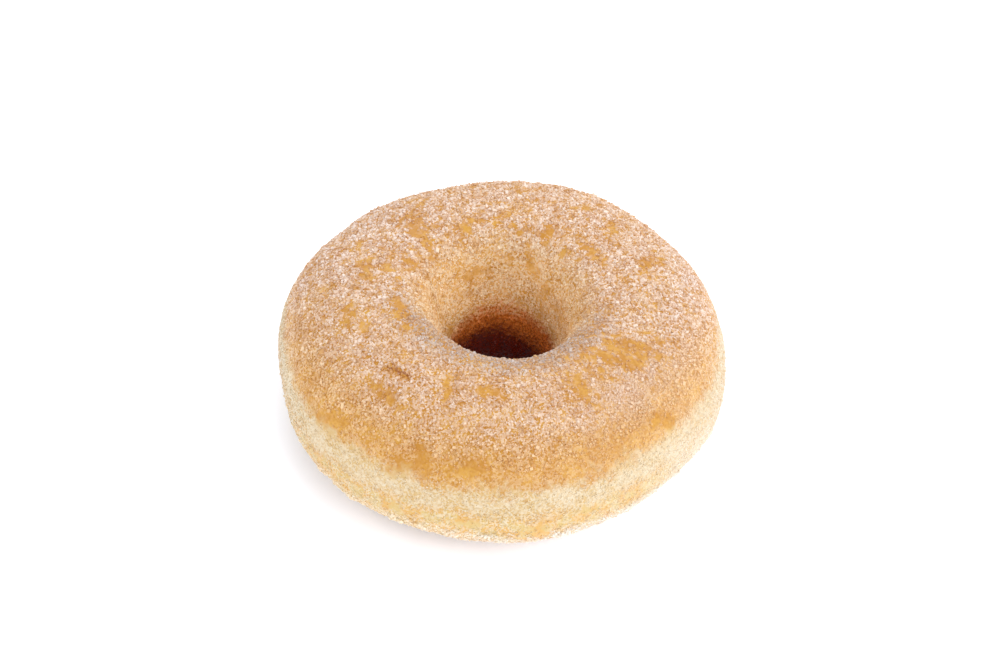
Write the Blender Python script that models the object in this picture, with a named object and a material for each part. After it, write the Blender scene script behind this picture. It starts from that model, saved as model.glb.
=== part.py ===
"""Sugared ring doughnut, standing on its flattened underside.

One ring of risen dough, fried on both faces and rolled in sugar. Both faces are domed and browned. Between them
runs the waist, a paler and slightly sunken band that floated above the oil. Units are metres and +Z is up.
"""

import math

import bmesh
import bpy
from mathutils import Vector, noise

# The ring's driving dimensions.
OUTER_RADIUS = 0.0448
HOLE_RADIUS = 0.0110
HEIGHT = 0.0332
CROWN_RADIUS = 0.0196  # of the highest line round the ring
WIDEST_HEIGHT = 0.0161
NARROWEST_HEIGHT = 0.0090  # of the hole
FLATTENED = 0.0006  # how far the ring's own weight has pressed its underside flat

# How square each quarter of the dough's section is: 2 is an ellipse, and more is boxier.
SHOULDER_POWER = 2.23
FUNNEL_POWER = 2.15
UNDERSIDE_POWER = 2.14

# The waist and the lip of the lower crust under it, both on the outer side.
WAIST_HEIGHT = 0.0192
WAIST_HALF_HEIGHT = 0.0034
WAIST_DEPTH = 0.00045
LIP_HEIGHT = 0.0128
LIP_HALF_HEIGHT = 0.0022
LIP_DEPTH = 0.00030

# Waves round the ring that make it uneven: crests in a full turn, size, and where one crest lies, in degrees from +X.
# The outline's size is a share of its radius and the thickness's a share of its height. The waist's is in metres.
OUTLINE_WAVES = (
    (2, 0.0077, 66),
    (3, 0.0059, 30),
    (4, 0.0063, -23),
    (5, 0.0034, 1),
    (6, 0.0026, -19),
    (7, 0.0024, 15),
)
THICKNESS_WAVES = ((1, 0.0463, 157), (2, 0.0101, 31), (3, 0.0049, -31))
WAIST_WAVES = ((1, 0.0009, 20), (3, 0.0006, 250), (5, 0.0004, 110))

# The skin's relief, each as a wavelength and a height: soft lumps of dough, then the crags of the sugared crust.
LUMPS = (0.0150, 0.00045)
DIMPLES = (0.0070, 0.00022)
CRAGS = (0.0042, 0.00014)

# Points round the ring and round the dough's section.
AROUND = 128
ROUND_SECTION = 42

CRUST_COLOUR = (0.70, 0.42, 0.19, 1.0)
CRUST_ROUGHNESS = 0.72


def section_point(turn):
    """(radius, height) on the dough's section, where turn runs from the outer side over the crown to the hole."""
    outward, upward = math.cos(turn), math.sin(turn)
    across = OUTER_RADIUS - CROWN_RADIUS if outward > 0 else CROWN_RADIUS - HOLE_RADIUS
    middle = WIDEST_HEIGHT if outward > 0 else NARROWEST_HEIGHT
    along = HEIGHT + FLATTENED - middle if upward > 0 else middle
    power = UNDERSIDE_POWER
    if upward > 0:
        power = SHOULDER_POWER if outward > 0 else FUNNEL_POWER
    reach = (abs(outward / across) ** power + abs(upward / along) ** power) ** (-1 / power)
    return CROWN_RADIUS + reach * outward, middle + reach * upward


def waves(table, azimuth):
    """The sum of a table's waves at an azimuth in radians."""
    return sum(size * math.cos(crests * (azimuth - math.radians(crest))) for crests, size, crest in table)


def bulge(distance, half_width):
    """A bell curve, 1 at no distance."""
    return math.exp(-((distance / half_width) ** 2))


def relief(place, wavelength_and_height):
    """How far the skin stands out at a place, by smooth noise of one wavelength."""
    wavelength, height = wavelength_and_height
    return height * noise.noise(place / wavelength)


def uneven(place):
    """A place on the true ring moved to where it lies on the risen and fried one, before the skin's relief."""
    azimuth = math.atan2(place.y, place.x)
    radius = math.hypot(place.x, place.y)
    outer_share = (radius - HOLE_RADIUS) / (OUTER_RADIUS - HOLE_RADIUS)
    if radius > CROWN_RADIUS:
        waist = WAIST_HEIGHT + waves(WAIST_WAVES, azimuth)
        radius -= WAIST_DEPTH * bulge(place.z - waist, WAIST_HALF_HEIGHT)
        radius += LIP_DEPTH * bulge(place.z - LIP_HEIGHT, LIP_HALF_HEIGHT)
    radius *= 1 + outer_share * waves(OUTLINE_WAVES, azimuth)
    height = place.z * (1 + waves(THICKNESS_WAVES, azimuth))
    return Vector((radius * math.cos(azimuth), radius * math.sin(azimuth), height))


def spin_ring():
    """The true ring: the dough's section spun round +Z."""
    ring = bmesh.new()
    points = [section_point(math.tau * k / ROUND_SECTION) for k in range(ROUND_SECTION)]
    section = [ring.verts.new((radius, 0.0, height)) for radius, height in points]
    edges = [ring.edges.new((section[k - 1], section[k])) for k in range(ROUND_SECTION)]
    bmesh.ops.spin(
        ring,
        geom=section + edges,
        axis=(0, 0, 1),
        cent=(0, 0, 0),
        steps=AROUND,
        angle=math.tau,
        use_merge=True,
    )
    bmesh.ops.recalc_face_normals(ring, faces=ring.faces)
    return ring


def shape_skin(ring):
    """Makes the ring uneven, then gives its skin lumps, dimples and crags along its normals."""
    for vertex in ring.verts:
        vertex.co = uneven(vertex.co)
    ring.normal_update()
    steps = [sum(relief(vertex.co, layer) for layer in (LUMPS, DIMPLES, CRAGS)) for vertex in ring.verts]
    for vertex, step in zip(ring.verts, steps):
        vertex.co += vertex.normal * step


def stand(ring):
    """Presses the underside flat at height 0 and centres the ring's box on the origin."""
    for vertex in ring.verts:
        vertex.co.z = max(0.0, vertex.co.z - FLATTENED)
    for axis in (0, 1):
        places = [vertex.co[axis] for vertex in ring.verts]
        middle = (min(places) + max(places)) / 2
        for vertex in ring.verts:
            vertex.co[axis] -= middle


def crust_material():
    """Matt, browned dough under a coat of sugar."""
    material = bpy.data.materials.new("sugared_crust")
    material.use_nodes = True
    shader = material.node_tree.nodes["Principled BSDF"]
    shader.inputs["Base Color"].default_value = CRUST_COLOUR
    shader.inputs["Roughness"].default_value = CRUST_ROUGHNESS
    shader.inputs["Metallic"].default_value = 0.0
    return material


def make_doughnut():
    """The whole doughnut as one object."""
    ring = spin_ring()
    shape_skin(ring)
    stand(ring)
    mesh = bpy.data.meshes.new("doughnut")
    ring.to_mesh(mesh)
    ring.free()
    mesh.shade_smooth()
    mesh.materials.append(crust_material())
    doughnut = bpy.data.objects.new("doughnut", mesh)
    bpy.context.scene.collection.objects.link(doughnut)


def clear_scene():
    for old in list(bpy.data.objects):
        bpy.data.objects.remove(old)


clear_scene()
make_doughnut()
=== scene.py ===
"""Sugared ring doughnut: the fried dough and its coat of sugar crystals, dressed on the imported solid."""

import math

import bmesh
import bpy
import numpy as np
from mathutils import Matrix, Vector, noise


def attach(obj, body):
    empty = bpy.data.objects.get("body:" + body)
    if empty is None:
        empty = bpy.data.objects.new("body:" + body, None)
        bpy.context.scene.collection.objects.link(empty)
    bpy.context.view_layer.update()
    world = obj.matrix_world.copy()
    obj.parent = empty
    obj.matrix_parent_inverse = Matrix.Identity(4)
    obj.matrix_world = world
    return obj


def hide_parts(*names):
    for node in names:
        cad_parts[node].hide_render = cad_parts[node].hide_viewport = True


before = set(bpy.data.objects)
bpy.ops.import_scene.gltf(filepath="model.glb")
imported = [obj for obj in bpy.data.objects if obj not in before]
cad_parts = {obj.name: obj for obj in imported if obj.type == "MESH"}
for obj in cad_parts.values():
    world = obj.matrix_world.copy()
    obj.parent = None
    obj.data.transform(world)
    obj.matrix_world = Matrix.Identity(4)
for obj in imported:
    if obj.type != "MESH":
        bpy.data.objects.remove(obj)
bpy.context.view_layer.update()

# The dough's skin: risen wheat dough, fried on one face and then on the other, so both faces are golden and
# the waist that floated clear of the oil stays pale. It is shaped on a copy of the solid and lies a little
# inside it, because the sugar that stands on it comes up to the solid's own outline.
SKIN_INSET = 0.00022
SAME_POINT = 0.000001
QUAD_LIMIT = 0.7  # how bent or skewed a quad made of two triangles may be, in radians
ROUNDING_LEVELS = 2
SKIN_WRINKLES = ((0.0034, 0.00013), (0.0014, 0.00009))  # each a wavelength and a height


def noise_over(places, wavelength, offset=(0, 0, 0)):
    """Smooth noise, mostly within -0.5 to 0.5, at each of the places."""
    shift = Vector(offset)
    return np.array([noise.noise(Vector(place) / wavelength + shift) for place in places.tolist()])


def vertex_rows(mesh, name):
    """A row of three numbers for each vertex of a mesh: its "co" or its "normal"."""
    values = np.empty(len(mesh.vertices) * 3, np.float32)
    mesh.vertices.foreach_get(name, values)
    return values.reshape(-1, 3)


def rounded_copy(node, name):
    """The node's own mesh, merged, turned from triangles to quads and rounded."""
    shape = bmesh.new()
    shape.from_mesh(node.data)
    bmesh.ops.remove_doubles(shape, verts=shape.verts, dist=SAME_POINT)
    bmesh.ops.join_triangles(
        shape,
        faces=shape.faces,
        angle_face_threshold=QUAD_LIMIT,
        angle_shape_threshold=QUAD_LIMIT,
    )
    mesh = bpy.data.meshes.new(name)
    shape.to_mesh(mesh)
    shape.free()
    draft = bpy.data.objects.new(name, mesh)
    bpy.context.scene.collection.objects.link(draft)
    rounding = draft.modifiers.new("rounding", "SUBSURF")
    rounding.levels = rounding.render_levels = ROUNDING_LEVELS
    bpy.context.view_layer.update()
    graph = bpy.context.evaluated_depsgraph_get()
    rounded = bpy.data.meshes.new_from_object(draft.evaluated_get(graph))
    draft.modifiers.clear()
    draft.data = rounded
    rounded.name = name
    bpy.data.meshes.remove(mesh)
    return draft


dough = rounded_copy(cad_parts["doughnut"], "fried_dough")
mesh = dough.data
skin = vertex_rows(mesh, "co")
step = sum(height * noise_over(skin, wavelength) for wavelength, height in SKIN_WRINKLES) - SKIN_INSET
skin += vertex_rows(mesh, "normal") * step[:, None]
skin[:, 2] = np.maximum(skin[:, 2], 0)
mesh.vertices.foreach_set("co", skin.ravel())
mesh.update()
mesh.shade_smooth()
skin_count = len(skin)
skin_radius = np.hypot(skin[:, 0], skin[:, 1])

# The ring is thicker at its left and back. A height that leans with it keeps the waist and the colours of the
# frying on the shape.
LEAN_X = 0.97
LEAN_Y = -0.41
OUTSIDE_RADIUS = 0.030  # the waist shows on the outer side only
skin_height = skin[:, 2] * (1 + LEAN_X * skin[:, 0] + LEAN_Y * skin[:, 1])
azimuth = np.arctan2(skin[:, 1], skin[:, 0])
front = 0.5 - 0.5 * np.sin(azimuth)  # 1 at the front of the ring and 0 at its back


def rise(values, low, high):
    """0 below low, 1 above high and smooth between, for an array."""
    share = np.clip((values - low) / (high - low), 0, 1)
    return share * share * (3 - 2 * share)


def below(values, band):
    """1 below a band, 0 above it and smooth between, for an array."""
    return 1 - rise(values, *band)


# How well the sugar covers the skin, from 0 to 1. The doughnut was rolled in it while still hot and damp: the
# domed faces took most, above all round the hole's near rim. The smooth waist and the inside of the hole took
# less.
BACK_COVER = 1.19
FRONT_COVER = 0.61
RIGHT_COVER = 0.14  # more, towards the right
SIDE_COVER = 0.55  # more, low down at the left and the right
LEFT_COVER = 0.45  # more, on the waist at the far left
RIM_COVER = 1.0  # round the near rim of the hole
EDGE_COVER = 0.38  # along the orange edge just above the waist
EDGE_BACK_COVER = 0.35  # more, along that edge at the back
WAIST_COVER = 0.50
LOWER_COVER = 0.48
FOOT_COVER = 1.0  # the clumped rim that was set down in loose sugar
UNDERSIDE_COVER = 0.6
FUNNEL_COVER = 0.85
BARE_COVER = 0.05

# The bands over which these covers go over into each other. First heights, and how far they wave up and down.
EDGE_BAND = (0.0250, 0.0290)
WAIST_BAND = (0.0205, 0.0225)
LOWER_BAND = (0.0155, 0.0175)
FOOT_BAND = (0.0108, 0.0128)
UNDERSIDE_BAND = (0.0050, 0.0080)
BAND_WAVE = 0.002
# Then distances from the axis of the ring, and to the right and the left.
NEAR_RIM_BAND = (0.0175, 0.0240)
HOLE_BAND = (0.0150, 0.0170)
RIGHT_BAND = (0.0, 0.030)
FAR_LEFT_BAND = (0.034, 0.042)
MIDDLE_X = -0.006
SIDES_BAND = (0.029, 0.043)  # either way from the middle

# How uneven the coat is: soft patches, then small sharp gaps, and most of both at the back. Each has two
# wavelengths.
PATCH_LENGTHS = (0.0050, 0.0023)
PATCHINESS = 0.55
BACK_PATCHINESS = 1.3
MOTTLE_LENGTHS = (0.0016, 0.0008)
FINER_MOTTLE = 0.5
MOTTLING = 2.0
BACK_MOTTLING = 1.15
MOTTLED_BAND = (0.0200, 0.0240)
FULLEST_MOTTLE = 1.1
# Grains that are left in the bare spots.
LEFT_GRAIN_LENGTH = 0.0009
LEFT_GRAINS = 1.3
MOST_LEFT_GRAINS = 0.32

# Each spot that was rubbed bare again: its middle (x, y), its half length and half width, and the direction
# of its length in degrees.
BARE_SPOTS = (
    (0.0229, -0.0149, 0.0088, 0.0040, 26),
    (-0.0168, 0.0205, 0.0090, 0.0020, 96),
    (0.0147, -0.0249, 0.0046, 0.0021, 120),
    (-0.0315, -0.0274, 0.0034, 0.0010, 143),
    (0.0288, 0.0103, 0.0038, 0.0020, 47),
    (-0.0262, 0.0054, 0.0038, 0.0015, 94),
    (-0.0064, 0.0189, 0.0036, 0.0016, 42),
    (-0.0212, -0.0267, 0.0044, 0.0012, 137),
    (-0.0295, -0.0064, 0.0034, 0.0014, 85),
    (-0.0190, -0.0079, 0.0048, 0.0013, 102),
    (-0.0049, -0.0402, 0.0030, 0.0011, 179),
    (-0.0220, 0.0067, 0.0040, 0.0012, 84),
    (-0.0193, -0.0224, 0.0028, 0.0009, 152),
    (0.0173, 0.0131, 0.0036, 0.0014, 124),
    (-0.0003, 0.0210, 0.0024, 0.0014, 59),
    (0.0219, 0.0206, 0.0030, 0.0014, 81),
    (-0.0018, -0.0267, 0.0024, 0.0011, 157),
    (-0.0143, -0.0377, 0.0022, 0.0011, 115),
    (-0.0099, -0.0261, 0.0032, 0.0009, 90),
    (-0.0258, -0.0111, 0.0018, 0.0012, 123),
    (-0.0182, 0.0070, 0.0022, 0.0011, 93),
    (0.0094, 0.0185, 0.0017, 0.0012, 66),
    (-0.0181, -0.0379, 0.0024, 0.0008, 172),
    (0.0303, -0.0266, 0.0026, 0.0009, 30),
)
# The same for the small marks that were scorched in the oil.
SCORCHED_SPOTS = (
    (-0.0193, -0.0224, 0.0030, 0.0007, 152),
    (-0.0176, -0.0238, 0.0012, 0.0005, 150),
    (0.0097, 0.0140, 0.0012, 0.0007, 0),
    (-0.0215, 0.0200, 0.0012, 0.0006, 60),
    (0.0290, 0.0040, 0.0012, 0.0006, 10),
)
SPOT_LENGTHS = (0.0022, 0.0010)
SPOT_RAGGEDNESS = 0.9
SPOT_EDGE = (0.85, 1.30)
TOP_FACE_HEIGHT = 0.020
# Each bare spot on the outer side: how far round the ring and how high its middle is, and its half length and
# half height.
SIDE_RADIUS = 0.0445
SIDE_SPOTS = (
    (math.radians(278) * SIDE_RADIUS, 0.0120, 0.0034, 0.0030),
    (math.radians(262) * SIDE_RADIUS, 0.0148, 0.0026, 0.0008),
    (math.radians(243) * SIDE_RADIUS, 0.0142, 0.0030, 0.0010),
    (math.radians(291) * SIDE_RADIUS, 0.0152, 0.0018, 0.0009),
    (math.radians(120) * SIDE_RADIUS, 0.0140, 0.0030, 0.0011),
    (math.radians(60) * SIDE_RADIUS, 0.0150, 0.0026, 0.0009),
)


def spots(first, second, table, ragged):
    """1 in the middle of a table's spots and 0 outside them all. Both axes are arrays over the vertices."""
    share = np.zeros(skin_count)
    for middle_first, middle_second, half_length, half_width, direction in table:
        turn = math.radians(direction)
        along = (first - middle_first) * math.cos(turn) + (second - middle_second) * math.sin(turn)
        across = (second - middle_second) * math.cos(turn) - (first - middle_first) * math.sin(turn)
        distance = np.hypot(along / half_length, across / half_width) + ragged
        share = np.maximum(share, below(distance, SPOT_EDGE))
    return share


def two_noises(lengths, finer_share, offset):
    """Noise over the skin of one wavelength, and a share of noise of another."""
    return noise_over(skin, lengths[0]) + finer_share * noise_over(skin, lengths[1], offset)


patches = PATCHINESS * two_noises(PATCH_LENGTHS, 1, (9, 0, 0))
wavy_height = skin_height + BAND_WAVE * patches
near_rim = front * below(skin_radius, NEAR_RIM_BAND)
right = rise(skin[:, 0], *RIGHT_BAND)
far_left = rise(-skin[:, 0], *FAR_LEFT_BAND)
sideways = rise(np.abs(skin[:, 0] - MIDDLE_X), *SIDES_BAND)
cover = BACK_COVER + (FRONT_COVER - BACK_COVER) * front + RIGHT_COVER * right
cover += (RIM_COVER - cover) * near_rim
cover *= 1 + patches * (BACK_PATCHINESS - front)
edge_cover = EDGE_COVER + EDGE_BACK_COVER * (1 - front) + SIDE_COVER * sideways
cover += (edge_cover - cover) * below(wavy_height, EDGE_BAND)
waist_cover = WAIST_COVER + 2 * RIGHT_COVER * right + LEFT_COVER * far_left
cover += (waist_cover - cover) * below(wavy_height, WAIST_BAND)
lower_cover = LOWER_COVER * (1 + patches) + SIDE_COVER * sideways
cover += (lower_cover - cover) * below(skin_height, LOWER_BAND)
cover += (FOOT_COVER - cover) * below(wavy_height, FOOT_BAND)
cover += (UNDERSIDE_COVER * (1 + patches) - cover) * below(skin_height, UNDERSIDE_BAND)
inside = below(skin_radius, HOLE_BAND)
cover += (FUNNEL_COVER * (1 + 2 * patches) - cover) * inside * (1 - near_rim)

raggedness = SPOT_RAGGEDNESS * two_noises(SPOT_LENGTHS, 1, (5, 0, 0))
top_face = skin[:, 2] > TOP_FACE_HEIGHT
outer_side = skin_radius > OUTSIDE_RADIUS
bare = spots(skin[:, 0], skin[:, 1], BARE_SPOTS, raggedness) * top_face
side_spots = [spot + (0,) for spot in SIDE_SPOTS]
round_the_ring = np.mod(azimuth, math.tau) * SIDE_RADIUS
bare = np.maximum(bare, spots(round_the_ring, skin_height, side_spots, raggedness) * outer_side)
mottle = (BACK_MOTTLING - front) * two_noises(MOTTLE_LENGTHS, FINER_MOTTLE, (3, 0, 0))
gaps = MOTTLING * mottle * (1 - inside) * rise(skin_height, *MOTTLED_BAND)
cover *= np.clip(FULLEST_MOTTLE + gaps, 0, FULLEST_MOTTLE)
left_grains = np.clip(LEFT_GRAINS * noise_over(skin, LEFT_GRAIN_LENGTH, (2, 4, 0)), 0, MOST_LEFT_GRAINS)
cover = np.clip(cover + (BARE_COVER - cover) * bare * (1 - left_grains), BARE_COVER, 1)
scorched = spots(skin[:, 0], skin[:, 1], SCORCHED_SPOTS, raggedness) * top_face
for name, values in (("coat", cover), ("scorch", scorched)):
    mesh.attributes.new(name, "FLOAT", "POINT").data.foreach_set("value", values.astype(np.float32))


class Wire:
    """A value in a material's nodes, which Python's operators carry on through Math nodes."""

    def __init__(self, tree, socket=None):
        self.tree = tree
        self.socket = socket

    def node(self, kind, settings=None, inputs=None, output=0):
        """Adds a node: first its settings, then a value or a wire for each input. Returns an output of it."""
        made = self.tree.nodes.new(kind)
        for name, value in (settings or {}).items():
            setattr(made, name, value)
        for name, value in (inputs or {}).items():
            if isinstance(value, Wire):
                self.tree.links.new(value.socket, made.inputs[name])
            else:
                made.inputs[name].default_value = value
        return Wire(self.tree, made.outputs[output])

    def maths(self, operation, first, second):
        return self.node("ShaderNodeMath", {"operation": operation}, {0: first, 1: second})

    def __add__(self, other):
        return self.maths("ADD", self, other)

    __radd__ = __add__

    def __sub__(self, other):
        return self.maths("SUBTRACT", self, other)

    def __rsub__(self, other):
        return self.maths("SUBTRACT", other, self)

    def __mul__(self, other):
        return self.maths("MULTIPLY", self, other)

    __rmul__ = __mul__

    def __pow__(self, other):
        return self.maths("POWER", self, other)

    def between(self, low, high):
        """0 below low, 1 above high and smooth between."""
        return self.node(
            "ShaderNodeMapRange",
            {"interpolation_type": "SMOOTHSTEP"},
            {"Value": self, "From Min": low, "From Max": high},
        )


MIX_FACTOR, MIX_FIRST, MIX_SECOND, MIX_RESULT = 0, 6, 7, 2  # a Mix node's colour sockets


def blend(share, first, second):
    """The first colour going over to the second as share goes from 0 to 1."""
    inputs = {MIX_FACTOR: share, MIX_FIRST: first, MIX_SECOND: second}
    return share.node("ShaderNodeMix", {"data_type": "RGBA"}, inputs, MIX_RESULT)


def grain(place, wavelength, detail=2.0, roughness=0.5):
    """Noise of a wavelength in metres, from 0 to 1 and mostly near 0.5."""
    inputs = {"Vector": place, "Scale": 1 / wavelength, "Detail": detail, "Roughness": roughness}
    return place.node("ShaderNodeTexNoise", {}, inputs)


def new_material(name):
    """A material, its Principled shader, and the wire of Object coordinates that its patterns start from."""
    material = bpy.data.materials.new(name)
    material.use_nodes = True
    tree = material.node_tree
    return material, tree.nodes["Principled BSDF"], Wire(tree).node("ShaderNodeTexCoord", output="Object")


def feed(shader, name, wire):
    wire.tree.links.new(wire.socket, shader.inputs[name])


# Colours of the fried dough without its sugar.
GOLDEN = (0.69, 0.370, 0.076, 1)
DEEP_GOLDEN = (0.575, 0.262, 0.044, 1)
WAIST_CREAM = (0.66, 0.455, 0.20, 1)
WAIST_PALE = (0.70, 0.53, 0.31, 1)
LOWER_GOLDEN = (0.70, 0.405, 0.110, 1)
PALE_GOLDEN = (0.67, 0.475, 0.185, 1)
# Painted light: a brighter gold for the funnel, which lifts it out of the hole's shade.
FUNNEL_PAINTED_LIGHT_GOLDEN = (0.76, 0.42, 0.12, 1)
# In the hole the crust is browner, partly from deeper frying and partly as painted shade. It is near black at
# the bottom, as painted shade.
HOLE_BROWN_AND_SHADE = (0.43, 0.112, 0.006, 1)
HOLE_PAINTED_SHADE = (0.095, 0.007, 0.001, 1)
SCORCHED = (0.33, 0.105, 0.022, 1)

# Where the fried faces end and the waist begins: heights, and the waves of heights, each as a wavelength, a
# detail, a roughness and how far it reaches from its lowest to its highest.
WAIST_TOP_BAND = (0.0208, 0.0240)
WAIST_BOTTOM_BAND = (0.0150, 0.0186)
LOWER_CRUST_BAND = (0.004, 0.009)
WAIST_WAVES = (0.006, 4.0, 0.65, 0.0095)
WAIST_TEETH = (0.0016, 3.0, 0.6, 0.0060)
BOTTOM_WAVES, BOTTOM_TEETH = 0.9, 0.5  # how much of them the waist's lower edge has
HOLE_WAVES = (0.006, 4.0, 0.65, 0.0050)
HOLE_SPECKLE = (0.0007, 2.0, 0.5, 0.0070)
# Each shade of the hole's browning: the x where it reaches highest, and how fast it falls away from there,
# per metre. Then the heights over which the crust and the sugar on it take the shade. The first shade is
# partly deeper frying and partly painted shade; the second, near black, is painted shade.
BROWNING_AND_SHADE = (-0.0010, 33.0)
PAINTED_HOLE_SHADE = (-0.0030, 38.0)
BROWN_AND_SHADED_CRUST_BAND = (0.0160, 0.0205)
PAINTED_SHADE_CRUST_BAND = (0.0100, 0.0176)
AMBER_SHADED_SUGAR_BAND = (0.0155, 0.0205)
DEEP_SHADED_SUGAR_BAND = (0.0100, 0.0170)
# Distances from the axis over which the outer side, the hole's wall and the funnel above it begin.
OUTSIDE_BAND = (OUTSIDE_RADIUS, OUTSIDE_RADIUS + 0.003)
WALL_BAND = (0.0140, 0.0165)
FUNNEL_BAND = (0.0140, 0.0200)
# Blotches of colour: the wavelength of each, and the noise from which it starts and at which it is full.
FRIED_LENGTH, FRIED_TONES = 0.005, (0.43, 0.62)
PORE_LENGTH, PORE_SHARE = 0.0006, 0.4
CREAM_LENGTH, CREAM_TONES = 0.0040, (0.42, 0.60)
FUNNEL_LENGTH, FUNNEL_TONES = 0.0035, (0.35, 0.60)
LOWER_LENGTH, LOWER_TONES = 0.0030, (0.42, 0.58)
BLOTCH_DETAIL, BLOTCH_ROUGHNESS = 3.0, 0.6
# The lower crust is paler at the far left and the far right: partly its own colour, partly painted light.
PALE_SIDES = 0.8  # how cream the lower crust is at the far left and the far right

# Colours of the sugar: it turns a little pink over the fried faces and is cream or white lower down. Painted
# shade makes it grey round the hole's near rim and amber to near black in the hole; painted light makes it
# whiter at the right end, and in part at the far sides.
PINK_SUGAR = (0.93, 0.785, 0.685, 1)
# Painted shade: the grey of the sugar round the hole's near rim, which faces away from the lamps.
SHADED_RIM_SUGAR = (0.645, 0.56, 0.53, 1)
# Whiter sugar: a powdery coat at the back left, and painted light at the right end.
POWDERY_AND_LIT_SUGAR = (0.95, 0.84, 0.79, 1)
GOLDEN_SUGAR = (0.92, 0.68, 0.42, 1)
BEIGE_SUGAR = (0.95, 0.77, 0.54, 1)
CREAM_SUGAR = (0.83, 0.75, 0.59, 1)
WHITE_SUGAR = (0.89, 0.825, 0.74, 1)
FOOT_SUGAR = (0.90, 0.77, 0.58, 1)
# Painted shade: the sugar in the hole, amber and then near black towards the bottom.
AMBER_SHADED_SUGAR = (0.78, 0.26, 0.052, 1)
DEEP_SHADED_SUGAR = (0.20, 0.016, 0.002, 1)

# Where each of these begins and is full, in x, y, distance from the axis or height.
BACK_LEFT_X, BACK_LEFT_Y = (-0.028, -0.006), (-0.004, 0.016)
BACK_LEFT_POWDER = 0.8
# At the right end the sugar is painted whiter: painted light.
RIGHT_END_X = (0.028, 0.040)
RIGHT_END_PAINTED_LIGHT = 0.7
RIM_RADIUS, RIM_Y = (0.0190, 0.0250), (-0.010, 0.002)
FRONT_EDGE_RADIUS, FRONT_EDGE_Y = (0.0330, 0.0400), (-0.020, 0.010)
FUNNEL_Y = (-0.012, -0.004)
CREAM_SUGAR_HEIGHT = (0.0205, 0.0250)
WHITE_SUGAR_HEIGHT = (0.0150, 0.0250)
FOOT_HEIGHT, FOOT_X = (0.0110, 0.0135), (-0.022, 0.012)


def upright(place):
    """(height that leans with the ring, radius from its axis, x, y), as wires in metres."""
    x, y, z = (place.node("ShaderNodeSeparateXYZ", {}, {"Vector": place}, axis) for axis in "XYZ")
    return z * (1 + LEAN_X * x + LEAN_Y * y), (x * x + y * y) ** 0.5, x, y


def waves(place, wavelength, detail, roughness, reach):
    """Heights that wave up and down at random, as a wire."""
    return (grain(place, wavelength, detail, roughness) - 0.5) * reach


def blotches(place, wavelength, tones):
    """Soft blotches of a wavelength, from 0 to 1."""
    return grain(place, wavelength, BLOTCH_DETAIL, BLOTCH_ROUGHNESS).between(*tones)


def far_sides(x):
    """1 at the far left and the far right, and 0 between them."""
    off_middle = x - MIDDLE_X
    return (off_middle * off_middle).between(SIDES_BAND[0] ** 2, SIDES_BAND[1] ** 2)


def browned_and_shaded(place, shade, band):
    """1 where the wall of the hole takes a shade of the browning and the painted shade, and 0 elsewhere."""
    height, radius, x, _ = upright(place)
    highest_x, fall = shade
    aside = x - highest_x
    depth = height + aside * aside * fall + (waves(place, *HOLE_WAVES) + waves(place, *HOLE_SPECKLE))
    return (1 - radius.between(*WALL_BAND)) * (1 - depth.between(*band))


def fried_colour(place):
    """Golden fried faces with the cream waist between them, and browner the deeper it lies in the hole:
    partly deeper frying, partly painted shade.
    """
    height, radius, x, _ = upright(place)
    outside = radius.between(*OUTSIDE_BAND)
    wavy = waves(place, *WAIST_WAVES)
    jagged = waves(place, *WAIST_TEETH)
    top = (height + wavy + jagged).between(*WAIST_TOP_BAND)
    bottom = (height + wavy * BOTTOM_WAVES + jagged * BOTTOM_TEETH).between(*WAIST_BOTTOM_BAND)
    patchy = grain(place, FRIED_LENGTH, BLOTCH_DETAIL, BLOTCH_ROUGHNESS)
    tone = (1 - PORE_SHARE) * patchy + PORE_SHARE * grain(place, PORE_LENGTH)
    golden = blend(tone.between(*FRIED_TONES), DEEP_GOLDEN, GOLDEN)
    # The funnel is painted a brighter gold in blotches: painted light against the hole's shade.
    funnel = (1 - radius.between(*FUNNEL_BAND)) * blotches(place, FUNNEL_LENGTH, FUNNEL_TONES)
    golden = blend(funnel, golden, FUNNEL_PAINTED_LIGHT_GOLDEN)
    cream = blend(blotches(place, CREAM_LENGTH, CREAM_TONES), WAIST_CREAM, WAIST_PALE)
    colour = blend(outside * bottom * (1 - top), golden, cream)
    lower = blend(blotches(place, LOWER_LENGTH, LOWER_TONES), PALE_GOLDEN, LOWER_GOLDEN)
    colour = blend(outside * (1 - bottom) * height.between(*LOWER_CRUST_BAND), colour, lower)
    # Paler lower crust at the far sides: partly its own colour, partly painted light.
    colour = blend(outside * (1 - bottom) * far_sides(x) * PALE_SIDES, colour, cream)
    # Browner deeper in the hole: partly deeper frying, partly painted shade.
    colour = blend(browned_and_shaded(place, BROWNING_AND_SHADE, BROWN_AND_SHADED_CRUST_BAND), colour, HOLE_BROWN_AND_SHADE)
    # Near black at the bottom of the hole: painted shade.
    return blend(browned_and_shaded(place, PAINTED_HOLE_SHADE, PAINTED_SHADE_CRUST_BAND), colour, HOLE_PAINTED_SHADE)


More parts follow.
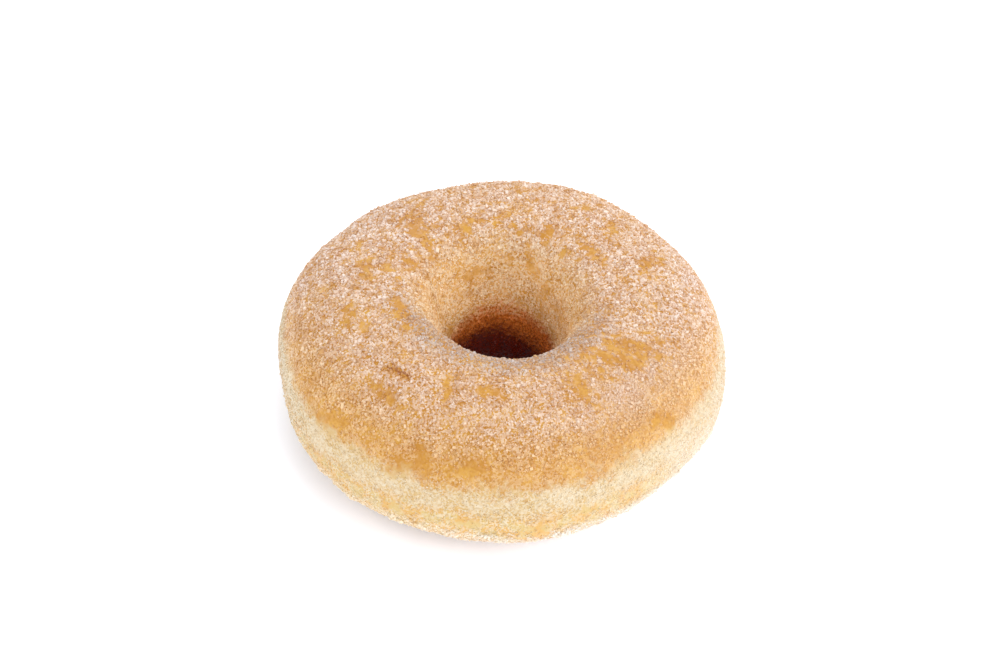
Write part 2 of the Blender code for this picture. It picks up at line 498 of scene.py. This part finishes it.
def sugar_colour(place):
    """Pinkish over the fried top, cream at the waist, white at the foot and the far sides, the sides partly
    as painted light; whiter at the right end as painted light; painted shade round the near rim and in the
    hole.
    """
    height, radius, x, y = upright(place)
    back_left = (1 - x.between(*BACK_LEFT_X)) * y.between(*BACK_LEFT_Y)
    colour = blend(back_left * BACK_LEFT_POWDER, PINK_SUGAR, POWDERY_AND_LIT_SUGAR)
    # Whiter sugar at the right end: painted light.
    colour = blend(x.between(*RIGHT_END_X) * RIGHT_END_PAINTED_LIGHT, colour, POWDERY_AND_LIT_SUGAR)
    # Round the hole's near rim the sugar is painted grey: painted shade.
    near_rim = (1 - radius.between(*RIM_RADIUS)) * (1 - y.between(*RIM_Y))
    colour = blend(near_rim, colour, SHADED_RIM_SUGAR)
    front_edge = radius.between(*FRONT_EDGE_RADIUS) * (1 - y.between(*FRONT_EDGE_Y))
    colour = blend(front_edge, colour, GOLDEN_SUGAR)
    funnel = (1 - radius.between(*FUNNEL_BAND)) * y.between(*FUNNEL_Y)
    colour = blend(funnel, colour, BEIGE_SUGAR)
    low = radius.between(*OUTSIDE_BAND) * (1 - height.between(*CREAM_SUGAR_HEIGHT))
    colour = blend(low, colour, CREAM_SUGAR)
    # Whiter sugar low at the far sides: partly its own colour, partly painted light.
    white = far_sides(x) * (1 - height.between(*WHITE_SUGAR_HEIGHT))
    colour = blend(low * white, colour, WHITE_SUGAR)
    foot = blend(x.between(*FOOT_X), FOOT_SUGAR, WHITE_SUGAR)
    colour = blend(1 - height.between(*FOOT_HEIGHT), colour, foot)
    # In the hole the sugar takes painted shade: amber, then near black.
    colour = blend(browned_and_shaded(place, BROWNING_AND_SHADE, AMBER_SHADED_SUGAR_BAND), colour, AMBER_SHADED_SUGAR)
    return blend(browned_and_shaded(place, PAINTED_HOLE_SHADE, DEEP_SHADED_SUGAR_BAND), colour, DEEP_SHADED_SUGAR)


# The dust: how fine it is, how much of the crust it hides, and the tones and covers from which it starts and
# at which it is full. It took most evenly at the front right.
DUST_LENGTH = 0.00036
DUST_SHARE = 0.80
DUST_TONES = (0.32, 0.68)
DUST_COVERS = (-0.08, 0.95)
EVEN_X, EVEN_Y = (0.004, 0.026), (-0.022, -0.002)
EVENNESS = 0.6
EVEN_DUST = 0.5  # of the coat
SCORCH_GRAIN = (0.0007, 3.0, 0.7)  # a wavelength, a detail and a roughness
SCORCH_TONES = (0.42, 0.54)
# The crust is smooth where it is bare. The dust makes it rough, and stands out of it.
CRUST_GLOSS = 0.2
BARE_ROUGHNESS = 0.42
DUST_ROUGHNESS = 0.4  # more, under full dust
DUST_RELIEF, RELIEF_STRENGTH = 0.00016, 0.6
PIMPLE_LENGTH, PIMPLE_RELIEF = 0.0009, 0.8  # of the dust's relief


def evenly_coated(place):
    """How evenly the sugar took, from 0 to EVENNESS."""
    _, _, x, y = upright(place)
    return EVENNESS * x.between(*EVEN_X) * (1 - y.between(*EVEN_Y))


def fried_skin():
    """The dough's colour under a dust of the finest sugar, thicker where the coat is."""
    material, shader, place = new_material("fried_skin")
    shader.inputs["Specular IOR Level"].default_value = CRUST_GLOSS
    coat = place.node("ShaderNodeAttribute", {"attribute_name": "coat"}, {}, "Fac")
    specks = {"Vector": place, "Scale": 1 / DUST_LENGTH}
    tone = place.node("ShaderNodeTexVoronoi", {}, specks, "Color")
    dome = place.node("ShaderNodeTexVoronoi", {}, specks, "Distance")
    dust = tone.between(*DUST_TONES) * coat.between(*DUST_COVERS)
    dust = dust + (EVEN_DUST * coat - dust) * evenly_coated(place)
    scorch = place.node("ShaderNodeAttribute", {"attribute_name": "scorch"}, {}, "Fac")
    speckled = scorch * grain(place, *SCORCH_GRAIN).between(*SCORCH_TONES)
    crust = blend(speckled, fried_colour(place), SCORCHED)
    feed(shader, "Base Color", blend(dust * DUST_SHARE, crust, sugar_colour(place)))
    feed(shader, "Roughness", BARE_ROUGHNESS + DUST_ROUGHNESS * dust)
    relief = (1 - dome) * coat + PIMPLE_RELIEF * grain(place, PIMPLE_LENGTH)
    bump = {"Strength": RELIEF_STRENGTH, "Distance": DUST_RELIEF, "Height": relief}
    feed(shader, "Normal", place.node("ShaderNodeBump", {}, bump))
    return material


mesh.materials.clear()
mesh.materials.append(fried_skin())
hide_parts("doughnut")
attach(dough, "root")

# The sugar: granulated crystals about 0.4 mm long, stuck to the hot fat on the skin. They are blocks, wedges
# and broken splinters, lie at every angle, and are sunk into the damp dough by about a third.
rng = np.random.default_rng(20)


def crystal(make, **sizes):
    """The points and triangles of a crystal about one unit long, made by a bmesh operator."""
    block = bmesh.new()
    make(block, **sizes)
    bmesh.ops.triangulate(block, faces=block.faces)
    block.verts.index_update()
    points = np.array([vertex.co[:] for vertex in block.verts])
    faces = np.array([[vertex.index for vertex in face.verts] for face in block.faces])
    block.free()
    return points, faces


BLOCK = crystal(bmesh.ops.create_cube, size=0.9)
WEDGE = crystal(bmesh.ops.create_cone, cap_ends=True, segments=3, radius1=0.66, radius2=0.50, depth=0.95)
SPLINTER = crystal(bmesh.ops.create_cone, cap_ends=True, segments=3, radius1=0.60, radius2=0, depth=1.0)

mesh.calc_loop_triangles()
corners = np.empty(len(mesh.loop_triangles) * 3, np.int32)
mesh.loop_triangles.foreach_get("vertices", corners)
corners = corners.reshape(-1, 3)
normals = vertex_rows(mesh, "normal")
sides = skin[corners]
areas = np.linalg.norm(np.cross(sides[:, 1] - sides[:, 0], sides[:, 2] - sides[:, 0]), axis=1) / 2


MM2_IN_M2 = 1e6
CELLS_ACROSS = 4096  # more than the cells of any spacing across the ring


def strewn(per_mm2, spacing, where):
    """Places, normals and coats for crystals strewn where the coat is, no two in one cell of the spacing.

    per_mm2 is how many lie on a square millimetre of full coat before the thinning.
    """
    weight = areas * (cover * where)[corners].mean(axis=1)
    count = int(per_mm2 * weight.sum() * MM2_IN_M2)
    picked = rng.choice(len(corners), size=count, p=weight / weight.sum())
    first, second = rng.random((2, count))
    over = first + second > 1
    first[over], second[over] = 1 - first[over], 1 - second[over]
    shares = np.stack([1 - first - second, first, second], axis=1)[:, :, None]
    places = (skin[corners[picked]] * shares).sum(axis=1)
    outward = (normals[corners[picked]] * shares).sum(axis=1)
    outward /= np.linalg.norm(outward, axis=1, keepdims=True)
    coats = (cover[corners[picked]] * shares[:, :, 0]).sum(axis=1)
    cells = np.floor(places / spacing).astype(np.int64)
    _, kept = np.unique(cells @ np.array([1, CELLS_ACROSS, CELLS_ACROSS**2]), return_index=True)
    return places[kept], outward[kept], coats[kept]


def turned(count):
    """Random turns as rotation matrices, from random unit quaternions."""
    quaternions = rng.normal(size=(4, count))
    w, x, y, z = quaternions / np.linalg.norm(quaternions, axis=0)
    rows = [
        [1 - 2 * (y * y + z * z), 2 * (x * y - z * w), 2 * (x * z + y * w)],
        [2 * (x * y + z * w), 1 - 2 * (x * x + z * z), 2 * (y * z - x * w)],
        [2 * (x * z - y * w), 2 * (y * z + x * w), 1 - 2 * (x * x + y * y)],
    ]
    return np.array(rows).transpose(2, 0, 1)


SIZE_SPREAD = 0.17
PROPORTIONS = (0.78, 0.92, 1)
PROPORTION_SPREAD = 0.12
SINKING = 0.18  # how much deeper than its neighbours a crystal may be sunk, in its own lengths


def sugar_piece(name, shape, length, places, outward, coats, stand_out):
    """One mesh of crystals of a shape, each of its own size, proportions and turn, none below the table.

    stand_out is how far a crystal's middle may lie above the skin, in its own lengths.
    """
    points, faces = shape
    count = len(places)
    lengths = length * np.exp(rng.normal(0, SIZE_SPREAD, count))
    proportions = np.array(PROPORTIONS) * np.exp(rng.normal(0, PROPORTION_SPREAD, (count, 3)))
    local = points[None] * (proportions * lengths[:, None])[:, None]
    local = np.einsum("nij,npj->npi", turned(count), local)
    middles = places + outward * (lengths * (stand_out - SINKING * rng.random(count)))[:, None]
    solid = local + middles[:, None]
    solid[:, :, 2] -= np.minimum(solid[:, :, 2].min(axis=1), 0)[:, None]
    triangles = (faces[None] + len(points) * np.arange(count)[:, None, None]).reshape(-1, 3)
    sugar = bpy.data.meshes.new(name)
    sugar.from_pydata(solid.reshape(-1, 3).tolist(), [], triangles.tolist())
    for attribute, values in (("tone", rng.random(count)), ("coat", coats)):
        written = sugar.attributes.new(attribute, "FLOAT", "FACE")
        written.data.foreach_set("value", np.repeat(values, len(faces)).astype(np.float32))
    sugar.materials.append(sugar_crystals)
    piece = bpy.data.objects.new(name, sugar)
    bpy.context.scene.collection.objects.link(piece)
    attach(piece, "root")


CRYSTAL_GLOSS = 0.25
CLEAR_ROUGHNESS = 0.18
# Milky clouds make some of a crystal rougher and whiter.
CLOUD_GRAIN = (0.0002, 1.0)  # a wavelength and a detail
CLOUD_ROUGHNESS = 0.3
CLOUD_WHITENESS = 0.3
MIDDLE_TONE = 0.5
LEAST_WHITENESS = 0.14
THIN_COAT = 0.35  # a lone crystal's whiteness, as a share of one's in a full coat
FOOT_CRYSTALS_HEIGHT = (0.0105, 0.0135)  # the crystals below are thicker
FOOT_WHITENESS = 0.24


def crystal_material():
    """Clear crystals that let the dough's colour through, some more than others, and glint."""
    material, shader, place = new_material("sugar_crystals")
    shader.inputs["Specular IOR Level"].default_value = CRYSTAL_GLOSS
    tone = place.node("ShaderNodeAttribute", {"attribute_name": "tone"}, {}, "Fac")
    coat = place.node("ShaderNodeAttribute", {"attribute_name": "coat"}, {}, "Fac")
    height = upright(place)[0]
    cloudy = grain(place, *CLOUD_GRAIN)
    thick = FOOT_WHITENESS * (1 - height.between(*FOOT_CRYSTALS_HEIGHT))
    tone = tone + (MIDDLE_TONE - tone) * evenly_coated(place)
    white = LEAST_WHITENESS + tone + CLOUD_WHITENESS * (cloudy - 0.5)
    white = white * (THIN_COAT + (1 - THIN_COAT) * coat) + thick
    feed(shader, "Base Color", blend(white, fried_colour(place), sugar_colour(place)))
    feed(shader, "Roughness", CLEAR_ROUGHNESS + CLOUD_ROUGHNESS * cloudy)
    return material


sugar_crystals = crystal_material()
LENGTH = 0.00042
SPACING = 0.72  # of a crystal's length
RAISED, SUNK = 0.15, 0.02  # how far crystals stand out
FEWER_SPLINTERS = 0.4  # how densely they lie away from the top, as a share of their density there
TOP_BAND = (0.0255, 0.0265)
UNDERNEATH_BAND = (0.0080, 0.0090)
BACK_BAND = (-0.52, -0.48)  # half way from the front to the back
high = rise(skin_height, *TOP_BAND) * (1 - inside)
low = below(skin_height, UNDERNEATH_BAND) * (1 - inside)
middle = np.clip(1 - high - inside - low, 0, 1)
back = rise(-front, *BACK_BAND)
# Each kind of crystal: its shape, how many to a square millimetre, how long and how far out, and where.
for name, shape, per_mm2, length, stand_out, where in (
    ("blocks_at_the_back", BLOCK, 2.4, LENGTH * 1.05, RAISED, high * back),
    ("blocks_at_the_front", BLOCK, 2.2, LENGTH, RAISED, high * (1 - back)),
    ("wedges_at_the_back", WEDGE, 4.4, LENGTH, RAISED, high * back),
    ("wedges_at_the_front", WEDGE, 4.2, LENGTH * 0.9, RAISED, high * (1 - back)),
    ("wedges_round_the_side", WEDGE, 5.0, LENGTH * 0.75, SUNK, middle),
    ("wedges_in_the_hole", WEDGE, 4.5, LENGTH * 0.75, RAISED, inside),
    ("wedges_underneath", WEDGE, 3.5, LENGTH, RAISED, low),
    ("large_blocks", BLOCK, 0.22, LENGTH * 1.5, RAISED, high),
    ("splinters", SPLINTER, 3.0, LENGTH * 0.6, RAISED, high + FEWER_SPLINTERS * (1 - high)),
):
    sugar_piece(name, shape, length, *strewn(per_mm2, length * SPACING, where), stand_out)

# The clumps at the foot: the doughnut was set down in loose sugar while it was still damp, and coarser
# crystals stuck there in heaps, with the crust showing between them.
CLUMP_LENGTH = 0.00050
CLUMP_SPACING = 0.6  # of a crystal's length
CLUMP_DENSITY = 7.0
CLUMP_STAND_OUT = 0.26
HEAP_LENGTH, HEAP_TONES = 0.0034, (0.06, 0.26)
CLUMPED_FROM, CLUMPED_TO = (0.0075, 0.0095), (0.0112, 0.0124)
foot = rise(skin_height, *CLUMPED_FROM) * below(skin_height, CLUMPED_TO) * outer_side
clumped = foot * rise(noise_over(skin, HEAP_LENGTH, (7, 7, 0)), *HEAP_TONES)
heaped = strewn(CLUMP_DENSITY, CLUMP_LENGTH * CLUMP_SPACING, clumped)
sugar_piece("clumps_at_the_foot", BLOCK, CLUMP_LENGTH, *heaped, CLUMP_STAND_OUT)

# The stage: a white light table that runs on out of sight. It glows from below, but its glow is painted
# dimmer under the doughnut: a painted shadow, soft round the foot.
FLOOR_WHITE = (0.88, 0.90, 0.96, 1)
FLOOR_PALE = (0.87, 0.89, 0.96, 1)
# Painted shadow: the dim glow round the doughnut's foot.
FLOOR_PAINTED_SHADOW = (0.17, 0.22, 0.27, 1)
FLOOR_GRAIN = 0.4
FLOOR_ROUGHNESS = 0.9
FLOOR_GLOW = 0.6
PAINTED_SHADOW_BAND = (0.029, 0.051)
PAINTED_SHADOW_ASIDE = (0.0088, -0.0020, 0)  # the shade lies a little to the left and back
FLOOR_SIZE = 6.0


def table_white():
    """The light table's matt white top, its glow painted dimmer round the doughnut as a painted shadow."""
    material, shader, place = new_material("table_white")
    shader.inputs["Roughness"].default_value = FLOOR_ROUGHNESS
    shader.inputs["Emission Strength"].default_value = FLOOR_GLOW
    feed(shader, "Base Color", blend(grain(place, FLOOR_GRAIN), FLOOR_WHITE, FLOOR_PALE))
    aside = place.node("ShaderNodeVectorMath", {"operation": "ADD"}, {0: place, 1: PAINTED_SHADOW_ASIDE}, "Vector")
    glow = upright(aside)[1].between(*PAINTED_SHADOW_BAND)
    # The glow is painted dimmer round the doughnut: a painted shadow.
    feed(shader, "Emission Color", blend(glow, FLOOR_PAINTED_SHADOW, FLOOR_WHITE))
    return material


table_shape = bmesh.new()
bmesh.ops.create_grid(table_shape, x_segments=1, y_segments=1, size=FLOOR_SIZE / 2)
table_mesh = bpy.data.meshes.new("table")
table_shape.to_mesh(table_mesh)
table_shape.free()
table = bpy.data.objects.new("table", table_mesh)
bpy.context.scene.collection.objects.link(table)
table_mesh.materials.append(table_white())

# The room round the table is white, and four soft square lamps stand in it.
ROOM_WHITE = (1, 1, 1, 1)
ROOM_LIGHT = 0.55
LAMP_DISTANCE = 0.85
LAMP_HEIGHT = 0.62
LAMP_SIZE = 0.6
LAMP_AIM = Vector((0, 0, 0.02))
# The direction of each lamp in degrees from +X, and its power.
LAMPS = (
    ("front_lamp", 295, 4.2),
    ("right_lamp", 15, 3.6),
    ("back_lamp", 95, 2.4),
    ("left_lamp", 175, 2.8),
)
room = bpy.data.worlds.new("white_room")
room.use_nodes = True
walls = room.node_tree.nodes["Background"]
walls.inputs["Color"].default_value = ROOM_WHITE
walls.inputs["Strength"].default_value = ROOM_LIGHT
bpy.context.scene.world = room
bpy.context.scene.view_settings.view_transform = "Standard"


def lamp(name, direction, watts):
    """A square soft lamp that faces the doughnut."""
    light = bpy.data.lights.new(name, "AREA")
    light.size = LAMP_SIZE
    light.energy = watts
    turn = math.radians(direction)
    place = Vector((LAMP_DISTANCE * math.cos(turn), LAMP_DISTANCE * math.sin(turn), LAMP_HEIGHT))
    lamp_object = bpy.data.objects.new(name, light)
    lamp_object.location = place
    lamp_object.rotation_euler = (LAMP_AIM - place).to_track_quat("-Z", "Y").to_euler()
    bpy.context.scene.collection.objects.link(lamp_object)


for name, direction, watts in LAMPS:
    lamp(name, direction, watts)

# The camera of the photograph, 43 degrees above the table. It looks a little above and left of the
# doughnut's middle.
CAMERA_DISTANCE = 0.540
CAMERA_ELEVATION = math.radians(43.05)
DOUGHNUT_MIDDLE = Vector((0, 0, 0.0163))
LOOKED_AT = Vector((-0.0003, 0.0029, 0.0194))
LENS = 98.7
SENSOR_WIDTH = 36.0
NEAREST_SEEN = 0.01
camera = bpy.data.cameras.new("camera")
camera.lens = LENS
camera.sensor_width = SENSOR_WIDTH
camera.clip_start = NEAREST_SEEN
view = bpy.data.objects.new("camera", camera)
away = Vector((0, -math.cos(CAMERA_ELEVATION), math.sin(CAMERA_ELEVATION)))
view.location = DOUGHNUT_MIDDLE + CAMERA_DISTANCE * away
view.rotation_euler = (LOOKED_AT - view.location).to_track_quat("-Z", "Y").to_euler()
bpy.context.scene.collection.objects.link(view)
bpy.context.scene.camera = view
